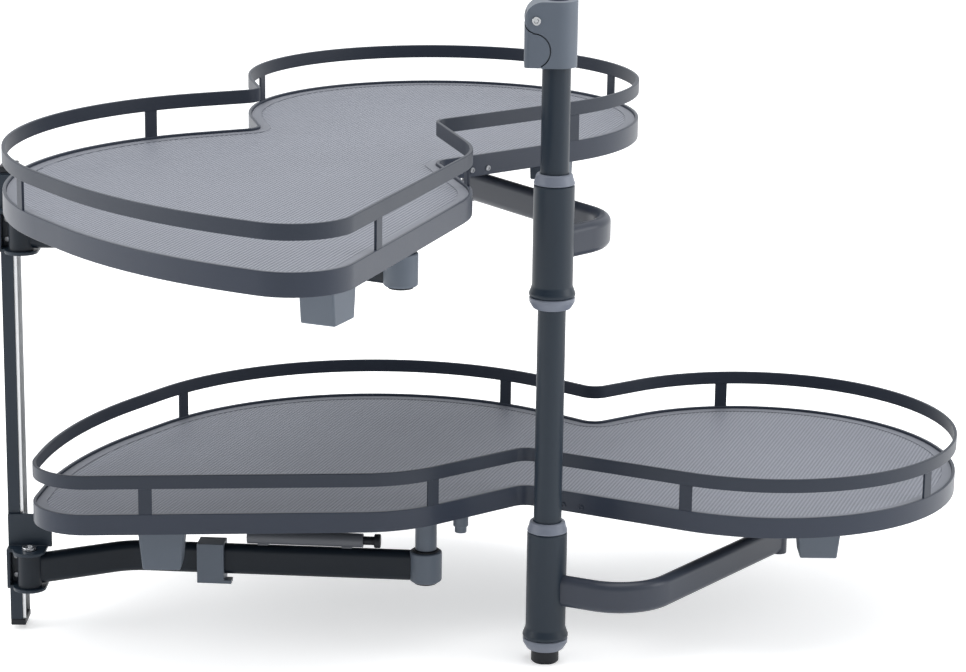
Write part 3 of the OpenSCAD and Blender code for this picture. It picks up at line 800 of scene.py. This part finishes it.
def top_loops(mesh: Mesh) -> list[Points]:
    """The edges of a flat ring's top face, each in order.

    Args:
        mesh: the ring.

    Returns:
        The loops' points, from the outermost loop inwards.
    """
    side_slope = 0.5
    work = welded(mesh)
    top = max(point.co.z for point in work.verts)
    joined: dict[Any, list[Any]] = {}
    for edge in work.edges:
        level = all(abs(point.co.z - top) < LEVEL_GAP for point in edge.verts)
        steep = any(abs(face.normal.z) < side_slope for face in edge.link_faces)
        if level and steep:
            first, last = edge.verts
            joined.setdefault(first, []).append(last)
            joined.setdefault(last, []).append(first)
    loops: list[Points] = []
    left = set(joined)
    while left:
        point = left.pop()
        loop = [point.co.copy()]
        while True:
            further = [other for other in joined[point] if other in left]
            if not further:
                break
            point = further[0]
            left.discard(point)
            loop.append(point.co.copy())
        loops.append(loop)
    work.free()
    return sorted(loops, key=lambda loop: min(point.x for point in loop))


def hatch(
    loop: Points, heading: float, pitch: float, margin: float
) -> list[tuple[Vector, Vector]]:
    """Parallel lines that fill a closed level loop.

    Args:
        loop: the loop's points.
        heading: the direction of the lines, in radians.
        pitch: the distance between neighbours.
        margin: how far each line stops short of the loop.

    Returns:
        The two ends of each line.
    """
    offset, least_length = 0.37, 4 * margin
    along = Vector((math.cos(heading), math.sin(heading), 0.0))
    across = Vector((-along.y, along.x, 0.0))
    reach = [point.dot(across) for point in loop]
    lines = []
    for number in range(math.ceil(min(reach) / pitch), math.floor(max(reach) / pitch) + 1):
        level = (number + offset) * pitch
        crossings = []
        for k, end in enumerate(reach):
            start = reach[k - 1]
            if (start < level) != (end < level):
                share = (level - start) / (end - start)
                crossings.append(loop[k - 1].lerp(loop[k], share))
        crossings.sort(key=along.dot)
        for first, last in zip(crossings[::2], crossings[1::2]):
            if (last - first).length > least_length:
                lines.append((first + along * margin, last - along * margin))
    return lines


def inset(loop: Points, depth: float) -> Points:
    """A closed level loop moved inwards.

    Args:
        loop: the loop's points.
        depth: how far they move.

    Returns:
        The moved points.
    """
    least_spread = 0.5
    nexts = loop[1:] + loop[:1]
    area = sum(point.x * on.y - on.x * point.y for point, on in zip(loop, nexts))
    side = 1.0 if area > 0 else -1.0
    moved = []
    for k, point in enumerate(loop):
        back = (point - loop[k - 1]).normalized()
        on = (nexts[k] - point).normalized()
        along = (back + on).normalized()
        spread = max(least_spread, along.dot(on))
        moved.append(point + Vector((-along.y, along.x, 0.0)) * (side * depth / spread))
    return moved


@dataclass
class Piece:
    """One CAD node and how it is finished."""

    node: str
    finish: Finish
    edge: float = 0.0
    record_slot: str = ""
    drawn_in: float = 0.0

    def show(self, frame: dict[str, Any]) -> Object:
        """Dresses the node.

        Args:
            frame: the loaded frame.

        Returns:
            The object that shows the node.
        """
        node = frame["nodes"][self.node]
        shown = self.shape(node)
        shown.data.materials.clear()
        shown.data.materials.append(self.finish.material())
        if shown is not node:
            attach(shown, node["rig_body"])
            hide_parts(self.node)
        return shown

    def shape(self, node: Object) -> Object:
        """A copy of the node, drawn in where asked, whose sharp edges are rounded.

        Args:
            node: the CAD node.

        Returns:
            The copy, or the node itself where no edge is rounded.
        """
        if not self.edge:
            return node
        work = welded(node.data)
        bmesh.ops.dissolve_limit(
            work, angle_limit=FLAT_ANGLE, verts=work.verts, edges=work.edges
        )
        work.normal_update()
        for point in work.verts:
            point.co -= point.normal * self.drawn_in
        mesh = node.data.copy()
        work.to_mesh(mesh)
        work.free()
        for polygon in mesh.polygons:
            polygon.use_smooth = True
        mesh.set_sharp_from_angle(angle=CREASE_ANGLE)
        copy = placed(f"{self.node}_soft", mesh)
        mesh.name = copy.name
        bevel = copy.modifiers.new("soft edges", "BEVEL")
        bevel.width = self.edge
        bevel.segments = EDGE_STEPS
        bevel.limit_method = "ANGLE"
        bevel.angle_limit = CREASE_ANGLE
        bevel.use_clamp_overlap = True
        return settled(copy)

    def grown(
        self, suffix: str, source: Mesh, tree: NodeTree, sizes: dict[str, Any]
    ) -> Object:
        """Runs a tree on a mesh in this piece's finish and keeps what comes out.

        Args:
            suffix: what the new object's name adds to the node's.
            source: the mesh that goes in.
            tree: the tree.
            sizes: the tree's inputs, by their names.

        Returns:
            A linked object with a plain mesh.
        """
        values = {**sizes, "Finish": self.finish.material()}
        made = placed(f"{self.node}_{suffix}", source)
        growth = made.modifiers.new("growth", "NODES")
        growth.node_group = tree
        for item in tree.interface.items_tree:
            if item.in_out == "INPUT" and item.name in values:
                growth[item.identifier] = values[item.name]
        return settled(made)


@dataclass
class BentBar(Piece):
    """A flat bar bent round the tray's outline, such as the rim or the gallery."""

    thickness: float = 3.0 * MM

    def shape(self, node: Object) -> Object:
        """Sweeps the bar along its CAD ring.

        Args:
            node: the CAD ring.

        Returns:
            The bar.
        """
        loop = inset(top_loops(node.data)[0], self.thickness / 2)
        low = min(corner.co.z for corner in node.data.vertices)
        height = loop[0].z - low
        count = len(loop)
        path = wire(
            f"{self.node}_path", [(point.x, point.y, low + height / 2) for point in loop],
            [(k, (k + 1) % count) for k in range(count)],
        )
        sizes = {"Thickness": self.thickness, "Height": height, "Edge Radius": self.edge}
        return self.grown("bar", path, bar_on_path(), sizes)


@dataclass
class MatRibs(Piece):
    """The ribs that stand on a mat inside its raised border, as a piece of their own."""

    heading: float = math.radians(72.0)
    pitch: float = 3.35 * MM
    width: float = 1.7 * MM
    rise: float = 0.35 * MM
    margin: float = 0.4 * MM
    border_rise: float = 0.8 * MM

    def show(self, frame: dict[str, Any]) -> Object:
        """Adds the ribs to the mat.

        Args:
            frame: the loaded frame.

        Returns:
            The ribs.
        """
        mat = frame["nodes"][self.node]
        ribs = self.shape(mat)
        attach(ribs, mat["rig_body"])
        return ribs

    def shape(self, node: Object) -> Object:
        """Lays straight ribs on the mat's floor.

        Args:
            node: the CAD mat.

        Returns:
            The ribs.
        """
        inside = top_loops(node.data)[1]
        seat = Vector((0.0, 0.0, -self.border_rise))
        lines = hatch(inside, self.heading, self.pitch, self.margin)
        ends = [tuple(end + seat) for line in lines for end in line]
        path = wire(
            f"{self.node}_rib_lines", ends, [(k, k + 1) for k in range(0, len(ends), 2)]
        )
        sizes = {"Thickness": self.width, "Height": 2 * self.rise, "Edge Radius": self.edge}
        return self.grown("ribs", path, bar_on_path(), sizes)


@dataclass
class BentArm(Piece):
    """An arm of flat-oval tube with one bend, a barrel at one end and a seat at the other."""

    root: Vector = field(default_factory=Vector)
    end: Vector = field(default_factory=Vector)
    elbow: Pair = (0.0, 0.0)
    bend_r: float = 60.0 * MM
    tube_h: float = 29.0 * MM
    tube_t: float = 14.0 * MM
    barrel_d: float = 22.0 * MM
    bore_d: float = 8.1 * MM
    seat_d: float = 30.1 * MM
    barrel_at_root: bool = True

    def shape(self, node: Object) -> Object:
        """Bends the tube from root to end by way of its elbow.

        Args:
            node: the CAD arm, which is not used.

        Returns:
            The arm.
        """
        low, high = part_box(self.node)
        rise = (low.z + high.z) / 2
        line = self.end - self.root
        along = Vector((line.x, line.y, 0.0)).normalized()
        across = Vector((-along.y, along.x, 0.0))
        elbow = self.root + along * self.elbow[0] + across * self.elbow[1]
        knots = [Vector((spot.x, spot.y, rise)) for spot in (self.root, elbow, self.end)]
        path = wire(f"{self.node}_path", knots, [(0, 1), (1, 2)])
        barrel, seat = (knots[0], knots[2]) if self.barrel_at_root else (knots[2], knots[0])
        sizes = {
            "Thickness": self.tube_t, "Height": self.tube_h, "Edge Radius": self.tube_t / 2,
            "Bend Radius": self.bend_r, "Barrel Height": high.z - low.z,
            "Barrel Diameter": self.barrel_d, "Bore Diameter": self.bore_d,
            "Barrel Place": tuple(barrel), "Seat Place": tuple(seat),
            "Seat Diameter": self.seat_d,
        }
        return self.grown("tube", path, bent_arm(self.bore_d > 0.0), sizes)


@dataclass
class Uprights(Piece):
    """The short flat bars between rim and gallery."""

    def shape(self, node: Object) -> Object:
        """Stands one bar where each CAD upright is.

        Args:
            node: the CAD uprights.

        Returns:
            The bars.
        """
        spots, headings = [], []
        size = Vector()
        for corners in islands(node.data):
            centre = middle(corners)
            foot = [corner for corner in corners if corner.z < centre.z]
            first = foot[0]
            sides = sorted((other - first for other in foot[1:]), key=lambda side: side.length)
            short_side, long_side = sides[:2]
            size = Vector((long_side.length, short_side.length, 2 * (centre.z - first.z)))
            spots.append(tuple(centre))
            headings.append(math.atan2(long_side.y, long_side.x))
        points = wire(f"{self.node}_points", spots, [])
        marks = points.attributes.new("heading", "FLOAT", "POINT")
        marks.data.foreach_set("value", headings)
        sizes = {
            "Width": size.x, "Thickness": size.y, "Height": size.z, "Edge Radius": self.edge
        }
        return self.grown("bars", points, bars_on_points(), sizes)


@dataclass
class Screws(Piece):
    """Socket-head screws, one where each CAD screw head is."""

    outwards: Vector = field(default_factory=lambda: Vector((0.0, -1.0, 0.0)))
    socket_share: float = 0.5
    headings_tried: int = 720

    def shape(self, node: Object) -> Object:
        """Sets a screw on each CAD head, standing on its seat.

        Args:
            node: the CAD screws.

        Returns:
            The screws.
        """
        spots, ways = [], []
        across = height = 0.0
        for corners in islands(node.data):
            centre = middle(corners)
            rays = [corner - centre for corner in corners]
            way = self.facing(rays)
            height = span(rays, way)
            across = 2 * max((ray - way * ray.dot(way)).length for ray in rays)
            spots.append(tuple(centre - way * height / 2))
            ways.extend(way)
        points = wire(f"{self.node}_points", spots, [])
        marks = points.attributes.new("facing", "FLOAT_VECTOR", "POINT")
        marks.data.foreach_set("vector", ways)
        sizes = {
            "Head Diameter": across, "Head Height": height,
            "Socket Width": across * self.socket_share,
        }
        return self.grown("heads", points, screws_on_points(), sizes)

    def facing(self, rays: Points) -> Vector:
        """Which way a head faces: along its axis, on the side that is outwards.

        Args:
            rays: the lines from the head's centre to its points.

        Returns:
            A level unit vector.
        """
        turns = [math.pi * step / self.headings_tried for step in range(self.headings_tried)]
        ways = [Vector((math.cos(turn), math.sin(turn), 0.0)) for turn in turns]
        best = min(ways, key=lambda way: span(rays, way))
        return best if best.dot(self.outwards) > 0 else -best


def plain_pieces(prefix: str, rows: list[tuple[str, Finish, float, str]]) -> list[Piece]:
    """Plain pieces, by rows of name, finish, edge in millimetres and slot."""
    return [
        Piece(f"{prefix}_{name}", finish, edge * MM, slot)
        for name, finish, edge, slot in rows
    ]


def joint(frame: dict[str, Any], name: str) -> dict[str, Any]:
    """One joint of the frame, by its name."""
    return next(known for known in frame["joints"] if known["name"] == name)


@dataclass
class SubAssembly(ABC):
    """A group of pieces that is dressed together."""

    frame: dict[str, Any]

    @abstractmethod
    def pieces(self) -> list[Piece]:
        """The group's CAD nodes with their finishes."""

    def dress(self) -> list[str]:
        """Gives every piece its shape and finish, and returns the pieces' names."""
        return [piece.show(self.frame).name for piece in self.pieces()]


@dataclass
class Post(SubAssembly):
    """The post with its foot, telescope and collars."""

    def pieces(self) -> list[Piece]:
        """The post's nodes."""
        return [
            Piece("post_tube", GRAPHITE, 0.4 * MM, "powder_graphite"),
            Piece("post_foot", BLACK_PLASTIC, 0.4 * MM, "black_plastic"),
            Piece("inner_tube", BRIGHT_STEEL, 0.3 * MM, "bright_steel"),
            Piece("inner_tube_guide", BLACK_PLASTIC),
            *[
                Piece(f"{level.value}_{name}", COLLAR_GREY, 0.6 * MM, "blue_grey_plastic")
                for level in Level for name in ("support_collar", "cover_collar")
            ],
        ]


@dataclass
class ClampHead(SubAssembly):
    """The head that clamps the telescope, with its lever and screw."""

    lever_gap: float = 0.45 * MM

    def pieces(self) -> list[Piece]:
        """The head's nodes."""
        return [
            Piece("clamp_head", BLUE_GREY, 1.2 * MM, "blue_grey_plastic"),
            Piece("clamp_lever", BLUE_GREY, 0.8 * MM, "blue_grey_plastic", self.lever_gap),
            Piece("lever_screw", LEVER_STEEL, 0.4 * MM, "bright_steel"),
        ]


@dataclass
class WallRail(SubAssembly):
    """The rail on the cabinet wall with its brackets and pins."""

    def pieces(self) -> list[Piece]:
        """The rail's nodes."""
        return [
            Piece("wall_rail", GRAPHITE, 0.5 * MM, "powder_graphite"),
            Piece("rail_liner", RAIL_STEEL, 0.3 * MM, "rail_steel"),
            Piece("rail_end_caps", BLACK_PLASTIC, 0.8 * MM, "black_plastic"),
            Screws("rail_screws", SCREW_STEEL, 0.3 * MM, "bright_steel"),
            *[
                Piece(f"{level.value}_{name}", finish, edge * MM, slot)
                for name, finish, edge, slot in (
                    ("bracket", GRAPHITE, 0.6, "powder_graphite"),
                    ("wall_pin", BRIGHT_STEEL, 0.4, "bright_steel"),
                ) for level in Level
            ],
        ]


@dataclass
class Arms(SubAssembly):
    """The swing arm and the guide arm of one level."""

    level: Level = Level.LOWER
    swing_elbow: Pair = (45.0 * MM, -76.0 * MM)
    swing_bend_r: float = 53.0 * MM
    swing_barrel_d: float = 17.0 * MM
    sleeve_seat_d: float = 36.1 * MM
    guide_elbow: Pair = (90.0 * MM, 39.0 * MM)

    def pivot(self, name: str) -> Vector:
        """Where the joint of that name is on this level."""
        return Vector(joint(self.frame, f"{self.level.value}_{name}")["pos_m"])

    def pieces(self) -> list[Piece]:
        """The arms' nodes.

        Returns:
            The two bent arms and what they carry.
        """
        name = self.level.value
        knuckle = sum(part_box(f"{name}_knuckle"), Vector()) / 2
        return [
            # The swing arm wears a lighter copy of the slate coat, as painted light.
            BentArm(
                f"{name}_swing_arm", LIT_SLATE, 0.0, "powder_slate",
                root=self.pivot("arm_swing"), end=self.pivot("tray_turn"),
                elbow=self.swing_elbow, bend_r=self.swing_bend_r,
                barrel_d=self.swing_barrel_d, bore_d=0.0, seat_d=self.sleeve_seat_d,
                barrel_at_root=False,
            ),
            # The guide arm wears a darker copy of the graphite coat, as painted shade.
            BentArm(
                f"{name}_guide_arm", SHADED_GRAPHITE, 0.0, "powder_graphite",
                root=self.pivot("guide_swing"), end=knuckle, elbow=self.guide_elbow,
            ),
            *plain_pieces(name, [
                ("sleeve", GRAPHITE, 0.5, "powder_slate"),
                ("bushes", BLACK_PLASTIC, 0.0, ""),
                ("tray_pin", BRIGHT_STEEL, 0.3, "bright_steel"),
                ("knuckle", BLUE_GREY, 0.6, "blue_grey_plastic"),
                ("knuckle_caps", BLACK_PLASTIC, 0.4, "black_plastic"),
                ("arm_clip", BLUE_GREY, 0.8, "blue_grey_plastic"),
                ("damper", DAMPER_GREY, 0.6, "pale_grey_plastic"),
                ("plunger", BLACK_PLASTIC, 0.6, "black_plastic"),
            ]),
        ]


@dataclass
class Tray(SubAssembly):
    """The tray of one level with all that is fixed to it."""

    level: Level = Level.LOWER
    turn: float = 0.0
    screws_face: Spot = (0.3, -1.0, 0.0)

    def pieces(self) -> list[Piece]:
        """The tray's nodes.

        Returns:
            The tray's pieces, with the mat's ribs as an extra one.
        """
        name = self.level.value
        ahead = Matrix.Rotation(self.turn, 3, "Z") @ Vector(self.screws_face)
        screw = SCREW_STEEL if self.level is Level.UPPER else SLATE
        return [
            *plain_pieces(name, [
                ("board", DARK_FOIL, 0.0, ""),
                ("mat", MAT_FLOOR, 0.0, ""),
                ("tray_hub", GRAPHITE, 0.5, "powder_graphite"),
                ("guide_boss", BLUE_GREY, 0.6, "blue_grey_plastic"),
                ("support_blocks", BLUE_GREY, 1.5, "blue_grey_plastic"),
                ("stop_buffer", BLUE_GREY, 0.5, "blue_grey_plastic"),
            ]),
            # The ribs wear a lighter grey than the mat, as painted light on their tops.
            MatRibs(f"{name}_mat", LIT_MAT_RIBS, 0.3 * MM, "ribbed_mat"),
            BentBar(f"{name}_rim", SLATE, 0.6 * MM, "powder_slate"),
            # Gallery and uprights wear a darker copy of the rim's slate coat, as painted shade.
            BentBar(f"{name}_gallery", SHADED_SLATE, 0.6 * MM, "powder_slate"),
            Uprights(f"{name}_uprights", SHADED_SLATE, 0.4 * MM, "powder_slate"),
            Screws(f"{name}_rim_screws", screw, 0.2 * MM, "bright_steel", outwards=ahead),
        ]


@dataclass(frozen=True)
class Lamp:
    """A soft round lamp."""

    place: Spot
    size: float
    power: float

    def hang(self, name: str, aim: Spot) -> None:
        """Hangs the lamp.

        Args:
            name: the lamp's name.
            aim: the place that it looks at.
        """
        lamp = bpy.data.lights.new(name, "AREA")
        lamp.shape = "DISK"
        lamp.size = self.size
        lamp.energy = self.power
        holder = placed(lamp.name, lamp)
        holder.location = self.place
        view = Vector(aim) - Vector(self.place)
        holder.rotation_euler = view.to_track_quat("-Z", "Y").to_euler()


@dataclass
class Studio:
    """Floor, light and camera."""

    lamps: tuple[Lamp, ...] = (
        Lamp((-0.1, 0.1, 2.6), 2.6, 34.0),
        Lamp((-2.2, -0.4, 1.0), 1.4, 16.0),
        Lamp((2.2, -0.2, 1.0), 1.4, 16.0),
    )
    lit_place: Spot = (-0.05, 0.05, 0.3)
    floor_reach: float = 12.0
    sky: tuple[float, float, float, float] = (0.97, 0.985, 1.0, 1.0)
    room_light: float = 1.05
    room_dark: float = 0.4
    dark_side: Spot = (-0.35, -0.93, 0.1)
    dusk: Pair = (0.2, 0.95)
    place: Spot = (-0.0581, -2.4709, 0.9374)
    pitch: float = 14.41
    yaw: float = -0.045
    roll: float = -0.826
    lens: float = 108.07
    sensor: float = 36.0
    far: float = 60.0

    def build(self) -> None:
        """Sets up the whole studio."""
        self.floor()
        self.backdrop()
        for number, lamp in enumerate(self.lamps):
            lamp.hang(f"soft_lamp_{number}", self.lit_place)
        self.camera()
        bpy.context.scene.view_settings.view_transform = "Standard"

    def floor(self) -> None:
        """Lays a plain pale floor."""
        mesh = bpy.data.meshes.new("studio_floor")
        far = self.floor_reach
        corners = [(-far, -far, 0), (far, -far, 0), (far, far, 0), (-far, far, 0)]
        mesh.from_pydata(corners, [], [(0, 1, 2, 3)])
        mesh.materials.append(PALE_FLOOR.material())
        placed("studio_floor", mesh)

    def backdrop(self) -> None:
        """Surrounds the unit with a pale room that has one dark side."""
        world = bpy.data.worlds.new("pale room")
        world.use_nodes = True
        bpy.context.scene.world = world
        wiring = Wiring(world.node_tree)
        way = wiring.node("ShaderNodeTexCoord", None, None, "Generated")
        towards = wiring.node(
            "ShaderNodeVectorMath", {"operation": "DOT_PRODUCT"},
            {0: way, 1: self.dark_side}, "Value",
        )
        light = wiring.node(
            "ShaderNodeMapRange", None,
            {"Value": towards, "From Min": self.dusk[0], "From Max": self.dusk[1],
             "To Min": self.room_light, "To Max": self.room_dark}, "Result",
        )
        room = wiring.tree.nodes["Background"]
        room.inputs["Color"].default_value = self.sky
        wiring.tree.links.new(light, room.inputs["Strength"])

    def camera(self) -> None:
        """Stands the camera where the photograph was taken from."""
        camera = bpy.data.cameras.new("photo_camera")
        camera.lens = self.lens
        camera.sensor_width = self.sensor
        camera.clip_end = self.far
        holder = placed("photo_camera", camera)
        turn = (
            Matrix.Rotation(-math.radians(self.yaw), 4, "Z")
            @ Matrix.Rotation(math.radians(90.0 - self.pitch), 4, "X")
            @ Matrix.Rotation(-math.radians(self.roll), 4, "Z")
        )
        holder.matrix_world = Matrix.Translation(self.place) @ turn
        bpy.context.scene.camera = holder


def tray_turn(frame: dict[str, Any]) -> float:
    """Turn of the upper tray from the lower one, in radians.

    Args:
        frame: the loaded frame.

    Returns:
        The angle between the lines from post to tray pivot, with the tray's own share.
    """
    turns = [joint(frame, f"{level.value}_tray_turn") for level in Level]
    lower, upper = [math.atan2(turn["pos_m"][1], turn["pos_m"][0]) for turn in turns]
    return upper - lower + math.radians(turns[0]["range_deg"][0])


def main() -> None:
    """Builds the unit and its studio."""
    logging.basicConfig(level=logging.INFO, format="%(name)s: %(message)s")
    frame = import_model()
    groups: list[SubAssembly] = [
        Post(frame), ClampHead(frame), WallRail(frame),
        Arms(frame, level=Level.LOWER), Arms(frame, level=Level.UPPER),
        Tray(frame, level=Level.LOWER),
        Tray(frame, level=Level.UPPER, turn=tray_turn(frame)),
    ]
    for group in groups:
        names = group.dress()
        LOG.info("%s: %s", type(group).__name__, ", ".join(names))
    Studio().build()


if __name__ == "__main__":
    main()
